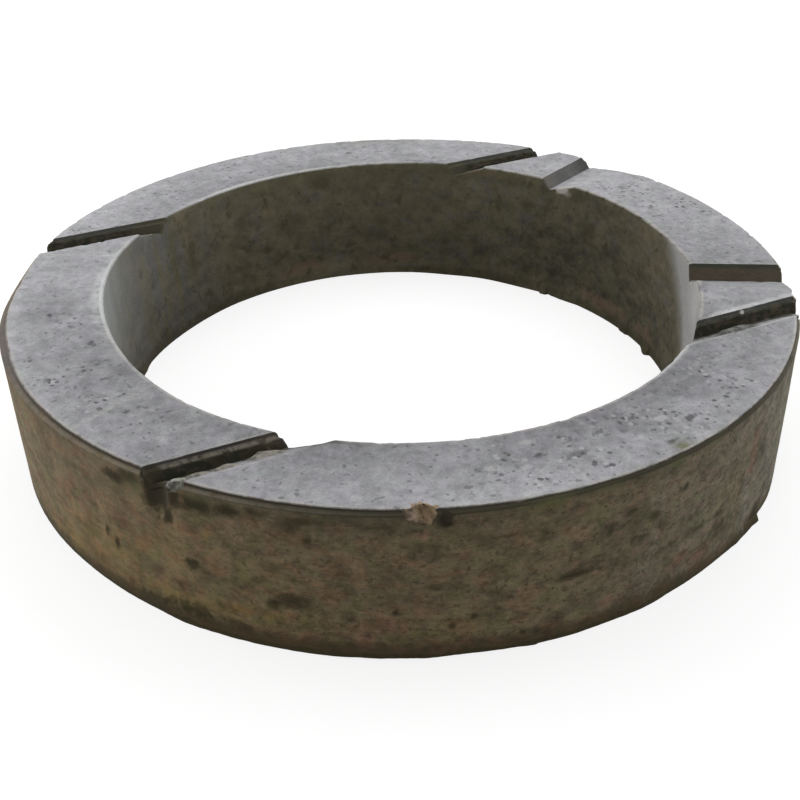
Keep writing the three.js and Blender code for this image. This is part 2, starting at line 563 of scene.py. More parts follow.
# Wear: slow swells and grain all over, crumbs of mortar on the slopes, and air holes that
# gather in clusters on the top face.
seed = size("Wear seed", 7.0)
seed_shift = join(seed, seed * 0.37, seed * -0.61)
worn_place = lay_node(mould, "ShaderNodeVectorMath", {0: place, 1: seed_shift}, operation="ADD")
swells = (noise(worn_place, 16.0, 2.0) - 0.5) * size("Swell relief", SWELL_RELIEF)
grain = (noise(worn_place, 130.0, 3.0, 0.6) - 0.5) * size("Grain relief", GRAIN_RELIEF)
grain = grain * (1 - named("top") * 0.6)
rough = (noise(worn_place, 95.0, 4.0, 0.6) - 0.45) * size("Slope relief", SLOPE_RELIEF)
rough = rough * named("slope") * named("sunk").ramp(0.25, 0.7) * (named("groove") * 0.8 + 0.2)
crumb_gap, crumb_lot = cells(worn_place, CRUMB_SPACING)
crumbs = crumb_gap.ramp(0.42, 0.1) * crumb_lot.ramp(0.55, 0.6) * size("Crumb relief", CRUMB_RELIEF)
crumbs = crumbs * (named("slope") * named("sunk").ramp(0.3, 0.8)).higher(named("steep") * 0.5)
crumbs = crumbs * named("groove")
nicks = noise(worn_place, 75.0, 3.0, 0.6).ramp(0.50, 0.72) * named("edge")
nicks = nicks * size("Edge wear", EDGE_WEAR) * -1
cluster_noise = noise(worn_place, 17.0, 2.0)
cluster = cluster_noise.ramp(0.58, 0.68) * 0.7
for bearing, half_angle in HOLE_REACHES:
    fade_start, fade_end = [math.cos(math.radians(half_angle * share)) for share in (1, 0.6)]
    near = towards(bearing).ramp(fade_start, fade_end)
    cluster = cluster.higher(cluster_noise.ramp(0.38, 0.54) * near)
cluster = cluster * named("top") * (1 - named("edge"))
cluster = cluster * outward.ramp(0.08, 0.25) * outward.ramp(0.97, 0.8)
holes = noise(worn_place, 85.0, 1.0, 0.6).ramp(0.40, 0.27)
pits = holes * cluster * size("Pit depth", PIT_DEPTH) * -1
relief = swells + grain + rough + crumbs + nicks + pits
normal = lay_node(mould, "GeometryNodeInputNormal", {})
shift = lay_node(mould, "ShaderNodeVectorMath", {0: normal, "Scale": relief}, operation="SCALE")
geometry = store(geometry, {"cluster": cluster, "pit": holes * cluster})
geometry = lay_node(mould, "GeometryNodeSetPosition", {"Geometry": geometry, "Offset": shift})

concrete = bpy.data.materials.new("weathered_concrete")
geometry = lay_node(mould, "GeometryNodeRealizeInstances", {"Geometry": geometry})
geometry = lay_node(mould, "GeometryNodeSetMaterial", {"Geometry": geometry, "Material": concrete})
mould_out = mould.nodes.new("NodeGroupOutput")
mould.links.new(geometry.socket, mould_out.inputs[0])

pressing = turned_ring.modifiers.new("mould_and_wear", "NODES")
pressing.node_group = mould
for identifier, value in size_values.items():
    pressing[identifier] = value
pressed_ring = turned_ring.evaluated_get(bpy.context.evaluated_depsgraph_get())
ring_mesh = bpy.data.meshes.new_from_object(pressed_ring)
ring_mesh.name = "culvert_ring_cast"
bpy.data.objects.remove(turned_ring)
ring = add_object("culvert_ring_cast", ring_mesh)

# Knocks and lumps. Each gives its bearing, radius and height, and then its half sizes
# along, across and up. A knock pushes the surface out of its oval, whose outline two
# ripples make ragged, and a lump pushes it up and outwards.
KNOCK_RIPPLES = [(0.30, 0.013), (0.12, 0.005)]
KNOCK_FADE = 0.16
points = np.empty(len(ring_mesh.vertices) * 3)
ring_mesh.vertices.foreach_get("co", points)
points = points.reshape(-1, 3)


def read_mark(name):
    values = np.empty(len(points))
    ring_mesh.attributes[name].data.foreach_get("value", values)
    return values


def oval(bearing, radius, height, half_sizes, facing=None):
    """The oval's middle and axes, and each point's place in it, where 1 is its surface."""
    turn = math.radians(bearing)
    middle = np.array([math.cos(turn) * radius, math.sin(turn) * radius, height])
    turn = math.radians(bearing if facing is None else facing)
    axes = np.array([[-math.sin(turn), math.cos(turn), 0], [math.cos(turn), math.sin(turn), 0], [0, 0, 1]])
    return middle, axes, (points - middle) @ axes.T / np.array(half_sizes)


def ripple(spacing):
    """A smooth uneven value between -1 and 1 at every point, about one swell per spacing."""
    turns = points * 2 * math.pi / spacing
    first = np.sin(turns[:, 0] * 1.3 + turns[:, 1] * 0.7 + 1.0)
    second = np.sin(turns[:, 1] * 1.1 - turns[:, 2] * 1.4 + 2.0)
    third = np.sin(turns[:, 2] * 1.2 + turns[:, 0] * 0.9 + 4.0)
    return (first + second + third) / 3


def knock(bearing, radius, height, half_sizes, facing=None):
    """Breaks away what lies inside a ragged oval, and returns how deep each point was in it."""
    middle, axes, local = oval(bearing, radius, height, half_sizes, facing)
    outline = sum((share * ripple(spacing) for share, spacing in KNOCK_RIPPLES), 1)
    gap = np.linalg.norm(local, axis=1) * outline
    inside = gap < 1
    spread = 1 / np.maximum(gap[inside], 0.2)[:, None]
    points[inside] = middle + (local[inside] * spread * np.array(half_sizes)) @ axes
    return np.clip(1 + KNOCK_FADE - gap, 0, KNOCK_FADE) / KNOCK_FADE


def lump(bearing, radius, height, half_sizes, up, out, facing=None):
    """Raises a soft lump by the given amounts, and returns how much each point belongs to it."""
    middle, axes, local = oval(bearing, radius, height, half_sizes, facing)
    gap = np.linalg.norm(local, axis=1)
    swell = np.clip(1 - gap * gap, 0, 1)[:, None]
    points[:] += swell * (axes[2] * up + axes[1] * out)
    return np.clip(1.2 - gap, 0, 0.5) * 2


# The chip in the rim is two scoops that meet in a ridge, with a pit in the wall beside it.
pink_break = knock(-113.6, 0.4048, 0.1503, (0.0078, 0.0100, 0.0098), -126)
ochre_break = knock(-112.4, 0.4050, 0.1495, (0.0078, 0.0115, 0.0118), -100)
hollow = knock(-110.3, 0.4075, 0.1410, (0.0080, 0.0078, 0.0082))
hollow = np.maximum(hollow, knock(-111.5, 0.4055, 0.1460, (0.0055, 0.0036, 0.0055)) * 0.5)

# The worn outer end of the front left groove, the hollows in its steep wall, and the
# mortar that stuck to its slope and ledge. ACROSS is the way that what lies along a groove
# faces.
ACROSS = 90
lump(-143.9, 0.4040, 0.1330, (0.0110, 0.0120, 0.0240), 0, -0.0060)
dark_end = lump(-144.0, 0.4030, 0.1350, (0.0135, 0.0110, 0.0220), 0, 0)
dark_end = np.maximum(dark_end, lump(-144.6, 0.3990, 0.1450, (0.0110, 0.0110, 0.0090), 0, 0))
for bearing, radius, height, half_sizes in (
    (-136.4, 0.3310, 0.1395, (0.0120, 0.0045, 0.0045)),
    (-134.8, 0.3200, 0.1400, (0.0080, 0.0035, 0.0035)),
    (-139.7, 0.3560, 0.1385, (0.0090, 0.0035, 0.0040)),
):
    hollow = np.maximum(hollow, knock(bearing, radius, height, half_sizes, ACROSS))
pale_crumb = lump(-141.4, 0.3975, 0.1470, (0.0090, 0.0100, 0.0095), 0.0060, 0.0030)
crumb = np.zeros(len(points))
for bearing, radius, height, half_sizes, up in (
    (-140.1, 0.3820, 0.1430, (0.0120, 0.0050, 0.0100), 0.0036),
    (-137.8, 0.3640, 0.1430, (0.0130, 0.0048, 0.0100), 0.0034),
    (-134.4, 0.3330, 0.1390, (0.0170, 0.0085, 0.0100), 0.0050),
    (-142.8, 0.3630, 0.1440, (0.0060, 0.0030, 0.0040), 0.0014),
):
    crumb = np.maximum(crumb, lump(bearing, radius, height, half_sizes, up, 0, ACROSS))
pebble = lump(-40.5, 0.3475, 0.1465, (0.0042, 0.0034, 0.0042), 0.0010, 0.0012)

# Mortar that lies in the front right groove along half its length.
groove_mortar = lump(-46.6, 0.3450, 0.1450, (0.0270, 0.0110, 0.0110), 0.0056, 0, ACROSS)

# The back left groove's outer end, where the rim stands out a little.
lump(143.5, 0.3950, 0.1420, (0.0200, 0.0200, 0.0120), 0, 0.0050)

# Nothing reaches past the sizes of the ring as drawn.
SIDE_CLEARANCE = 0.0001
TOP_CLEARANCE = 0.00005
SHARP_ANGLE = 36
side_limit = FOOT_RADIUS - SIDE_CLEARANCE
points[:, :2] = np.clip(points[:, :2], -side_limit, side_limit)
points[:, 2] = np.clip(points[:, 2], 0, RING_HEIGHT - TOP_CLEARANCE)
ring_mesh.vertices.foreach_set("co", points.reshape(-1))
ring_mesh.set_sharp_from_angle(angle=math.radians(SHARP_ANGLE))

# Stains and some painted shade, laid on as soft ovals that the material breaks up. Each gives
# its bearing in degrees, its height, half length and half height in millimetres, and its strength.
point_turn = np.degrees(np.arctan2(points[:, 1], points[:, 0]))
point_radius = np.hypot(points[:, 0], points[:, 1])
point_height = points[:, 2]
on_wall = read_mark("wall")
on_bore = read_mark("bore")
on_top = read_mark("top")


def round_from(bearing, half_angle):
    return bell(point_turn, bearing, half_angle)


def rise(values, start, run):
    """Goes from 0 at the start to 1 a run further on, or further back if the run is negative."""
    return np.clip((values - start) / run, 0, 1)


def soft_oval(bearing, radius, aside, half_length, half_width):
    """An oval's share of every point, from how far the points lie round the ring and aside."""
    turned = (point_turn - bearing + 180) % 360 - 180
    along = np.radians(turned) * radius / half_length
    across = aside / half_width
    return np.exp(-along * along - across * across)


def stains(*faces):
    """Soft ovals on the wall, the bore or another face, each face with a list of its own."""
    total = np.zeros(len(points))
    for face, ovals in faces:
        for bearing, *lengths, strength in ovals:
            height, half_length, half_height = [length / 1000 for length in lengths]
            aside = point_height - height
            stain = strength * soft_oval(bearing, point_radius, aside, half_length, half_height)
            total = np.maximum(total, stain * face)
    return total


# The dark ovals on the wall from bearing -150.5 to -131.5, 112 to 138 mm high, under the front left groove's
# outer end, are partly stain and partly painted shade under the mortar lump there.
dark = stains(
    (on_wall, [
        (-153.6, 65, 4, 10, 1), (-151.9, 55, 4, 9, 0.9), (-139.9, 70, 10, 8, 1),
        (-138.2, 63, 12, 6, 0.7), (-127.6, 53, 17, 8, 1), (-129.6, 48, 12, 6, 0.9),
        (-127.4, 128, 10, 9, 0.8), (-141, 17, 40, 12, 0.8), (-146.5, 14, 30, 10, 0.8),
        (-134.5, 13, 30, 8, 0.7), (-141.5, 42, 20, 10, 0.5), (-82, 58, 40, 12, 0.55),
        (-60.5, 12, 20, 10, 0.9), (-71.5, 38, 20, 12, 0.7), (-125.7, 136, 24, 5, 0.6),
        (-125.5, 118, 5, 5, 0.8), (-118.5, 133, 30, 5, 0.5), (-115.8, 50, 5, 5, 1),
        (-111.6, 71, 14, 7, 0.7), (-106.9, 40, 4, 4, 1), (-104.3, 38, 4, 4, 0.9),
        (-109.5, 31, 4, 4, 0.9), (-101, 18, 4, 4, 0.8), (-104.2, 86, 12, 6, 0.7),
        (-94.8, 66, 22, 5, 0.9), (-90.9, 101, 7, 6, 0.8), (-86.5, 80, 16, 9, 0.7),
        (-82.9, 85, 10, 10, 0.7), (-79.7, 113, 4, 4, 0.9), (-72.3, 55, 10, 8, 0.8),
        (-110.4, 140, 11, 10, 1), (-130, 85, 18, 7, 0.5), (-110, 85, 18, 6, 0.5),
        (-90, 85, 16, 6, 0.5), (-88, 110, 9, 5, 0.8), (-84.5, 98, 10, 6, 0.7),
        (-78.2, 95, 16, 7, 0.5), (-71, 88, 18, 6, 0.4), (-62, 80, 20, 20, 0.55),
        (-77, 55, 20, 6, 0.7), (-105, 120, 60, 8, 0.4), (-144.5, 128, 14, 26, 1),
        (-147.8, 138, 14, 9, 0.8), (-142.8, 112, 6, 12, 1), (-141.6, 134, 10, 12, 1),
        (-138.6, 133, 20, 9, 1), (-134.8, 134, 20, 7, 0.9), (-131.5, 138, 14, 5, 0.7),
        (-150.5, 132, 14, 8, 0.8), (-57, 30, 20, 10, 0.6), (60, 70, 50, 15, 0.7),
        (75, 100, 12, 10, 0.9), (92, 50, 15, 8, 0.9), (118, 80, 30, 10, 0.7),
        (150, 100, 30, 12, 0.7), (10, 50, 30, 15, 0.7), (-20, 85, 14, 10, 0.8),
        (35, 110, 10, 12, 0.8), (175, 45, 20, 10, 0.7),
    ]),
    (on_bore, [
        (83.5, 130, 14, 10, 0.8), (15.8, 99, 12, 16, 0.9), (104.4, 101, 14, 13, 0.8),
        (49.9, 98, 16, 12, 0.5), (5.1, 72, 14, 12, 0.6), (70, 75, 20, 12, 0.6),
        (33, 110, 12, 10, 0.6), (120, 90, 7, 30, 0.8), (92, 72, 14, 10, 0.6),
        (-100, 90, 30, 14, 0.6), (-150, 80, 14, 20, 0.5), (-60, 60, 20, 14, 0.6),
    ]),
)
rust = stains(
    (on_wall, [
        (-116.5, 36, 20, 12, 0.9), (-112.5, 47, 12, 10, 0.6), (-133, 18, 14, 6, 0.8),
        (-125.5, 14, 14, 6, 0.8), (-119, 7, 8, 4, 1), (-115.2, 8, 6, 4, 1), (-110.4, 7, 8, 4, 1),
        (-75, 26, 20, 8, 0.9), (-79.5, 36, 22, 10, 0.7), (-90.6, 27, 12, 6, 0.9),
        (-139.9, 78, 10, 6, 0.8), (-112.6, 126, 3, 6, 0.9), (-64.5, 95, 12, 30, 0.8),
        (-120, 20, 50, 10, 0.5), (-150, 95, 40, 30, 0.5), (30, 90, 50, 20, 0.6),
        (100, 60, 60, 20, 0.6), (-30, 35, 40, 12, 0.7), (-5, 100, 20, 20, 0.6),
    ]),
    (on_bore, [
        (90, 22, 40, 9, 0.8), (67, 22, 40, 8, 0.8), (9, 20, 50, 13, 0.7), (-9, 20, 30, 16, 0.6),
        (47, 143, 50, 6, 0.7), (-100, 30, 80, 16, 0.6), (-140, 50, 50, 20, 0.6),
    ]),
)
ochre = stains(
    (on_wall, [
        (-133, 30, 60, 12, 1), (-144, 22, 70, 16, 1), (-146, 70, 60, 40, 0.5),
        (-134, 70, 60, 30, 0.35), (-151, 70, 22, 22, 0.6), (-137.4, 105, 6, 4, 0.9),
        (-160, 20, 70, 22, 0.8), (-112, 33, 50, 14, 0.4), (-154, 50, 60, 22, 0.8),
        (-98, 143, 12, 5, 0.8), (-69, 60, 30, 40, 0.35), (20, 30, 120, 20, 0.8),
        (80, 40, 120, 25, 0.7), (140, 30, 120, 20, 0.8),
    ]),
)
moss = stains(
    (on_bore, [
        (126, 110, 12, 50, 0.5), (60, 142, 180, 12, 0.5), (41, 90, 20, 18, 0.5),
        (7, 40, 20, 15, 0.5),
    ]),
    (on_top, [(-79.9, 150, 9, 20, 1), (70, 150, 60, 20, 0.3)]),
    (on_wall, [
        (-98, 143.5, 18, 3.5, 1), (-91.5, 142.5, 12, 3, 0.8), (-81.5, 142.5, 8, 3, 0.9),
        (-75, 142.5, 10, 3, 0.8), (-147, 130, 10, 8, 0.7), (-138.5, 140, 10, 4, 0.6),
        (-86, 108, 4, 6, 0.7), (-85, 92, 5, 6, 0.6), (150, 130, 30, 10, 0.6),
    ]),
)


def spots(ovals):
    """Soft ovals on the top face, where each gives its radius in place of a height."""
    total = np.zeros(len(points))
    for bearing, *lengths, strength in ovals:
        radius, half_length, half_width = [length / 1000 for length in lengths]
        spot = strength * soft_oval(bearing, radius, point_radius - radius, half_length, half_width)
        total = np.maximum(total, spot)
    return total * on_top


pock = spots([
    (-86.6, 343, 8, 5, 1), (-89.8, 385, 6, 4, 0.9), (-105.4, 357, 7, 4, 1), (-96.9, 351, 9, 5, 0.8),
    (-92.2, 335, 6, 4, 0.8), (-91.2, 341, 5, 4, 0.8), (-80.8, 341, 8, 5, 0.7),
    (-70.8, 341, 12, 6, 0.6), (-76.8, 330, 10, 5, 0.6), (-101.9, 337, 7, 4, 0.7),
    (-100.3, 354, 7, 5, 0.6), (-91.6, 359, 14, 4, 0.7), (169.4, 356, 8, 4, 0.9),
    (-178, 382, 8, 4, 0.8), (-171.4, 378, 9, 4, 0.8), (-178.4, 324, 10, 5, 0.8),
    (-172.3, 330, 12, 6, 0.8), (-157, 352, 8, 5, 0.7), (20, 350, 8, 5, 0.7), (75, 360, 10, 5, 0.8),
    (98, 345, 12, 5, 0.8), (117, 370, 10, 5, 0.7), (5, 372, 10, 5, 0.7), (-80.4, 385, 8, 5, 1),
    (-74.4, 372, 9, 5, 1), (-75.6, 364, 7, 4, 0.8),
])
patch = spots([
    (-97.3, 331, 9, 5, 0.9), (-103.8, 357, 9, 4, 1), (-77.5, 356, 9, 6, 0.9),
    (-82.9, 366, 9, 4, 0.8), (167, 390, 30, 8, 0.6), (-175.4, 374, 14, 8, 0.5),
    (-99.3, 363, 8, 4, 0.8), (-150, 350, 20, 10, 0.5), (14, 380, 30, 10, 0.6),
    (-148, 362, 10, 6, 0.7), (-90.5, 372, 10, 4, 0.6), (60, 330, 40, 6, 0.6),
])

# Everything that the paint reads. A reach is given by its middle bearing and half angle.
lip_faces = np.clip(on_bore + on_top * rise(point_radius, 0.318, -0.004), 0, 1)
notch_lip = stains((lip_faces, [(24.4, 140.5, 12, 4.8, 1)]))
lit_bore_end = -10.3 - (RING_HEIGHT - point_height) * 190
marks = {
    "pink_break": pink_break,
    "ochre_break": ochre_break,
    "hollow": hollow,
    "crumb": crumb,
    "pale_crumb": pale_crumb,
    "pebble": pebble,
    "groove_mortar": groove_mortar,
    "dark_end": dark_end,
    "pock": pock,
    "patch": patch,
    "dark": dark,
    "rust": rust,
    "ochre": ochre,
    "moss": moss,
    "warm_side": on_wall * (round_from(-155, 21) + round_from(-185, 25) * 0.8),
    "olive_side": on_wall * (
        round_from(-178, 17)
        + round_from(-157, 14) * rise(point_height, 0.095, 0.02)
    ),
    "far_strip": round_from(176, 16),
    "dark_foot": on_wall * (
        round_from(-127, 32)
        + round_from(-145, 12) * 0.7
        + round_from(-80, 20) * 0.8
        + round_from(30, 60)
    ),
    # The grey side of the wall: partly greyer earth, partly painted light.
    "grey_and_lit_side": on_wall * (round_from(-55, 27) + round_from(100, 35)),
    "upper_band": on_wall * round_from(-122, 26),
    "thin_strip": round_from(-92, 34) * 1.6,
    "dark_bore": on_bore * round_from(17, 30),
    # A pale reach of the bore: partly bare concrete, partly painted light.
    "bare_and_lit_bore": on_bore * round_from(164, 20.5) * np.clip(0.10 + point_height * 7.3, 0, 1),
    "mid_bore": on_bore * round_from(132, 14),
    "bore_foot": on_bore * (round_from(80, 25) + round_from(22, 22) * 0.8),
    # This reach of the bore, with its slanted edge and a brighter band near its top, is painted light.
    "lit_bore": on_bore * rise(lit_bore_end - point_turn, -4.5, 9) * rise(point_turn, -62, 12),
    "lit_lip": on_bore * round_from(-33, 6),
    "dark_lip": round_from(-127.5, 4.5),
    "grey_notch": round_from(28, 8),
    "notch_lip": np.maximum(notch_lip, spots([(23.6, 318, 16, 8, 0.8)])),
    # A painted highlight along the front right groove's top edge.
    "cut_highlight": on_top * round_from(-40, 8),
    "open_end": round_from(126, 10) + round_from(55, 10),
    "clean_ledge": round_from(-139, 13),
    "bare_groove": round_from(141, 13),
    # The next two darken and lighten reaches of the top face: partly its own tone, partly painted shade and
    # painted light.
    "top_tone_and_shade": on_top * (
        round_from(167, 6) * rise(point_radius, 0.330, 0.012) * rise(point_radius, 0.386, -0.010)
        + round_from(-44, 8) * rise(point_radius, 0.345, 0.02)
        + round_from(-119, 6) * 0.8
        + round_from(-131, 13)
        + round_from(-68, 14) * rise(point_radius, 0.350, -0.02)
    ),
    "top_tone_and_light": on_top * (
        round_from(16, 9) * 0.12
        + round_from(-110, 9) * 0.09
        + round_from(-103, 9) * 0.06
        - round_from(167, 6) * 0.05
        + round_from(50, 60) * np.maximum(rise(point_radius, 0.382, -0.02), 0.3) * 0.22
        + round_from(161, 14) * rise(point_radius, 0.352, -0.030) * 0.36
        + round_from(-37, 5) * rise(point_radius, 0.350, -0.025) * 0.28
        + round_from(-99, 5) * rise(point_radius, 0.360, 0.015) * 0.15
        + round_from(138, 26) * 0.26
        + round_from(-2, 12) * 0.10
    ),
    "even_top": on_top * (round_from(12, 24) + round_from(-146, 14) * 0.6),
    # Painted highlights along reaches of the bore edge.
    "edge_highlight": (on_bore + on_top) * (
        round_from(160, 22)
        + round_from(108, 14) * 0.7
        + round_from(82, 26) * 0.4
        + round_from(-62, 9) * 0.6
    ),
}
for name, values in marks.items():
    write_mark(ring_mesh, name, np.clip(values, 0, 1))
ring_mesh.update()

# Weathered concrete: cement grey on top, where rain keeps it clean, and earth stained on
# the wall and in the bore. The colours are linear.
TOP_DARK = (0.272, 0.272, 0.280)
TOP_PALE = (0.352, 0.352, 0.362)
TOP_SPECK = (0.530, 0.530, 0.530)
TOP_PIT = (0.078, 0.078, 0.080)
MOSS_TINT = (0.145, 0.150, 0.070)
PALE_EDGE = (0.450, 0.455, 0.415)
PINK_EDGE = (0.500, 0.455, 0.430)
# Painted highlight on edges.
EDGE_HIGHLIGHT = (0.640, 0.650, 0.655)
EARTH = (0.180, 0.142, 0.085)
EARTH_WARM = (0.290, 0.213, 0.130)
# Greyer earth, partly painted light.
WALL_GREY_AND_LIT = (0.229, 0.206, 0.161)
EARTH_OLIVE = (0.175, 0.148, 0.092)
WALL_BARE = (0.285, 0.265, 0.230)
EARTH_UPPER = (0.125, 0.104, 0.068)
EARTH_FOOT = (0.105, 0.078, 0.042)
OCHRE = (0.262, 0.195, 0.070)
RUST = (0.215, 0.130, 0.085)
FOOT_RUST = (0.125, 0.074, 0.040)
# Dark stains, also used for painted shadow along the wall's foot.
DARK_STAIN_AND_SHADE = (0.042, 0.035, 0.015)
# Cores of dark stains, and of the painted shade under the front left groove's outer end.
DARK_STAIN_AND_SHADE_CORE = (0.014, 0.012, 0.003)
BORE_OLIVE = (0.124, 0.110, 0.070)
BORE_MOSS = (0.070, 0.075, 0.036)
BORE_GREY = (0.110, 0.108, 0.102)
# Bare concrete with painted light on it.
BORE_BARE_AND_LIT = (0.375, 0.390, 0.380)
# Painted light on the bore.
BORE_LIT = (0.375, 0.370, 0.362)
GROOVE_BROWN = (0.088, 0.070, 0.048)
# Dirt and painted shade in the cuts.
GROOVE_BLACK = (0.026, 0.028, 0.018)
GROOVE_EARTH = (0.120, 0.094, 0.070)
NOTCH_GREEN = (0.048, 0.050, 0.034)
NOTCH_GREY = (0.080, 0.080, 0.074)
NOTCH_BUFF = (0.130, 0.116, 0.095)
GROOVE_STRIP = (0.056, 0.050, 0.046)
GROOVE_GREY = (0.085, 0.088, 0.076)
# Darker than the concrete, partly as painted shade inside hollows.
HOLLOW_DARK = (0.050, 0.042, 0.026)
STRIP_DARK = (0.052, 0.047, 0.038)
STRIP_GREY = (0.125, 0.116, 0.124)
LEDGE_BROWN = (0.222, 0.202, 0.163)
# Painted shade on the ledge.
LEDGE_SHADE = (0.060, 0.052, 0.033)
CRUMB_GREY = (0.290, 0.265, 0.235)
CREST_GREY = (0.180, 0.180, 0.170)
CREST_DARK = (0.072, 0.072, 0.064)
CRUMB_PALE = (0.320, 0.325, 0.270)
CRUMB_DARK = (0.130, 0.130, 0.104)
PEBBLE = (0.560, 0.540, 0.520)
BREAK_PINK = (0.410, 0.310, 0.240)
BREAK_OCHRE = (0.340, 0.250, 0.150)
BREAK_DARK = (0.120, 0.085, 0.052)
PINKISH = (1.12, 0.965, 0.94)
GREENISH = (0.90, 0.98, 0.87)
TOP_GREENISH = (0.975, 0.99, 0.975)
TOP_PINKISH = (1.02, 1.0, 1.04)
FLECK_LIGHT = (1.45, 1.45, 1.45)
CONCRETE_SPECULAR = 0.25
HOLE_SPACING = 0.0062
BUMP_STRENGTH = 0.5
BUMP_DEPTH = 0.0014

concrete.use_nodes = True
paint = concrete.node_tree
surface = paint.nodes["Principled BSDF"]
surface.inputs["Specular IOR Level"].default_value = CONCRETE_SPECULAR
spot = lay_node(paint, "ShaderNodeTexCoord", {}, output=3)
up = split(spot)[2]


def mark(name):
    return lay_node(paint, "ShaderNodeAttribute", {}, output=2, attribute_name=name)


def stretched(up_by, round_by=1):
    """The point's place with its axes scaled, for marks that run along or up the wall."""
    inputs = {0: spot, 1: (round_by, round_by, up_by)}
    return lay_node(paint, "ShaderNodeVectorMath", inputs, operation="MULTIPLY")


def blend(amount, under, over, how="MIX"):
    under, over = [side if isinstance(side, Field) else (*side, 1) for side in (under, over)]
    inputs = {0: amount, 6: under, 7: over}
    return lay_node(paint, "ShaderNodeMix", inputs, output=2, data_type="RGBA", blend_type=how)


def coat(under, *coats):
    """Lays coats over a colour in turn. Each gives how much of it covers, and its colour."""
    for amount, over in coats:
        under = blend(amount, under, over)
    return under


def tinted(colour, by):
    return blend(1.0, colour, by, "MULTIPLY")


def shaded(colour, light):
    return tinted(colour, join(light, light, light))


clouds = noise(spot, 16.0, 2.0, 0.6)
blotch = noise(stretched(1.5), 36.0, 3.0, 0.65)
smudge = noise(stretched(1.7), 85.0, 3.0, 0.7)
scratch = noise(stretched(8.0), 75.0, 2.0, 0.6)
drips = noise(stretched(0.25, 1.5), 32.0, 2.0, 0.55)
tint = noise(stretched(1.3), 42.0, 3.0, 0.7, 0.5)
mottle = noise(spot, 80.0, 2.0, 0.5, 0.3)
break_up = noise(spot, 62.0, 4.0, 0.7, 0.4)
fleck = noise(spot, 230.0, 2.0, 0.7)
wall_fleck = noise(stretched(1.8), 150.0, 2.0, 0.6)
hole_noise = noise(spot, 165.0, 1.0, 0.5)
speckle = noise(spot, 125.0, 3.0, 0.7)
fine_grain = noise(spot, 520.0, 1.0, 0.6)

# These shift an edge either way, to make it ragged.
ragged = break_up - 0.5
uneven = blotch - 0.5
gritty = speckle - 0.5

# Marks that several paints read.
outwards = mark("outward")
sunk = mark("sunk")
ledge = mark("ledge")
near_bore = mark("near_bore")
thin_strip = mark("thin_strip")
far_strip = mark("far_strip")
clean_ledge = mark("clean_ledge")
grey_and_lit_side = mark("grey_and_lit_side")
warm_side = mark("warm_side")

# Top face: fine dark and pale flecks, with clusters of small holes.
top_paint = blend((fleck * 0.40 + speckle * 0.60).ramp(0.34, 0.66), TOP_DARK, TOP_PALE)
top_paint = tinted(top_paint, blend(tint.ramp(0.40, 0.60), TOP_GREENISH, TOP_PINKISH))
# The top's light varies its tone at random, grows from the bore out to the rim, and adds painted light and
# shade on some reaches and a painted highlight inside the rim near bearing 176.
top_light = clouds.ramp(0.32, 0.68) * 0.16 + blotch.ramp(0.30, 0.70) * 0.21
top_light = top_light + mottle.ramp(0.32, 0.68) * 0.16
top_light = top_light + ((outwards * 0.44 - 0.26) * (1 - mark("even_top")) + mark("top_tone_and_light"))
top_light = top_light + 0.745 - mark("top_tone_and_shade") * 0.08 + mark("near_rim") * far_strip * 0.12
hole_gap, hole_lot = cells(spot, HOLE_SPACING)
hole_gap = hole_gap + gritty * 0.9
holes = hole_gap.ramp(0.42, 0.20) * hole_lot.ramp(0.50, 0.62) * (mark("cluster") * 0.9 + 0.05)
holes = holes.higher(mark("pit") * 0.6).higher(hole_noise.ramp(0.34, 0.26) * 0.6)
holes = holes.higher((mark("pock") + gritty * 2.2).ramp(0.40, 0.95))
specks = hole_gap.ramp(0.50, 0.15) * hole_lot.ramp(0.30, 0.22) * (mark("cluster") * 0.48 + 0.10)
pale_patch = (mark("patch") + ragged * 1.4).ramp(0.25, 0.80) * mark("patch").ramp(0.05, 0.2)
rim_moss = mark("moss") * mark("near_rim") * break_up.ramp(0.30, 0.50)
# A painted highlight on the top face beside the bore edge.
bore_rim_highlight = mark("edge_highlight") * outwards.ramp(0.100, 0.0) * break_up.ramp(0.25, 0.60)
top_paint = coat(
    shaded(top_paint, top_light),
    (holes * 0.85, TOP_PIT),
    (specks.higher(pale_patch * 0.5), TOP_SPECK),
    (rim_moss * 0.9, MOSS_TINT),
    (bore_rim_highlight * 0.6, EDGE_HIGHLIGHT),
)

# Outer wall: brown earth, warmer and ochre on one side, greyer on the other, where the paleness
# is partly painted light.
warm_drips = warm_side * drips.ramp(0.47, 0.62) * 0.7
olive = (mark("olive_side") * tint.ramp(0.30, 0.50) * 0.65).higher(warm_drips)
upper_band = mark("upper_band") * (up + uneven * 0.05).ramp(0.112, 0.138)
foot_band = (up + ragged * 0.03).ramp(0.018, 0.006)
wall_paint = coat(
    blend(warm_side, EARTH, EARTH_WARM),
    (olive, EARTH_OLIVE),
    (grey_and_lit_side * 0.9, WALL_GREY_AND_LIT),
    (mark("ochre") * break_up.ramp(0.30, 0.55) * 0.85, OCHRE),
    (upper_band * 0.62, EARTH_UPPER),
    (foot_band * 0.8, EARTH_FOOT),
)
pink = tint.ramp(0.52, 0.60) * (1 - grey_and_lit_side * 0.9)
wall_paint = blend(pink, wall_paint, tinted(wall_paint, PINKISH))
wall_paint = blend(tint.ramp(0.48, 0.40), wall_paint, tinted(wall_paint, GREENISH))
rust_patch = (mark("rust") + break_up * 1.5 - 1.0).ramp(0.0, 0.4) * mark("rust").ramp(0.05, 0.3)
rust_line = (up + uneven * 0.02).ramp(0.024, 0.014) * mark("dark_foot") * break_up.ramp(0.42, 0.58)
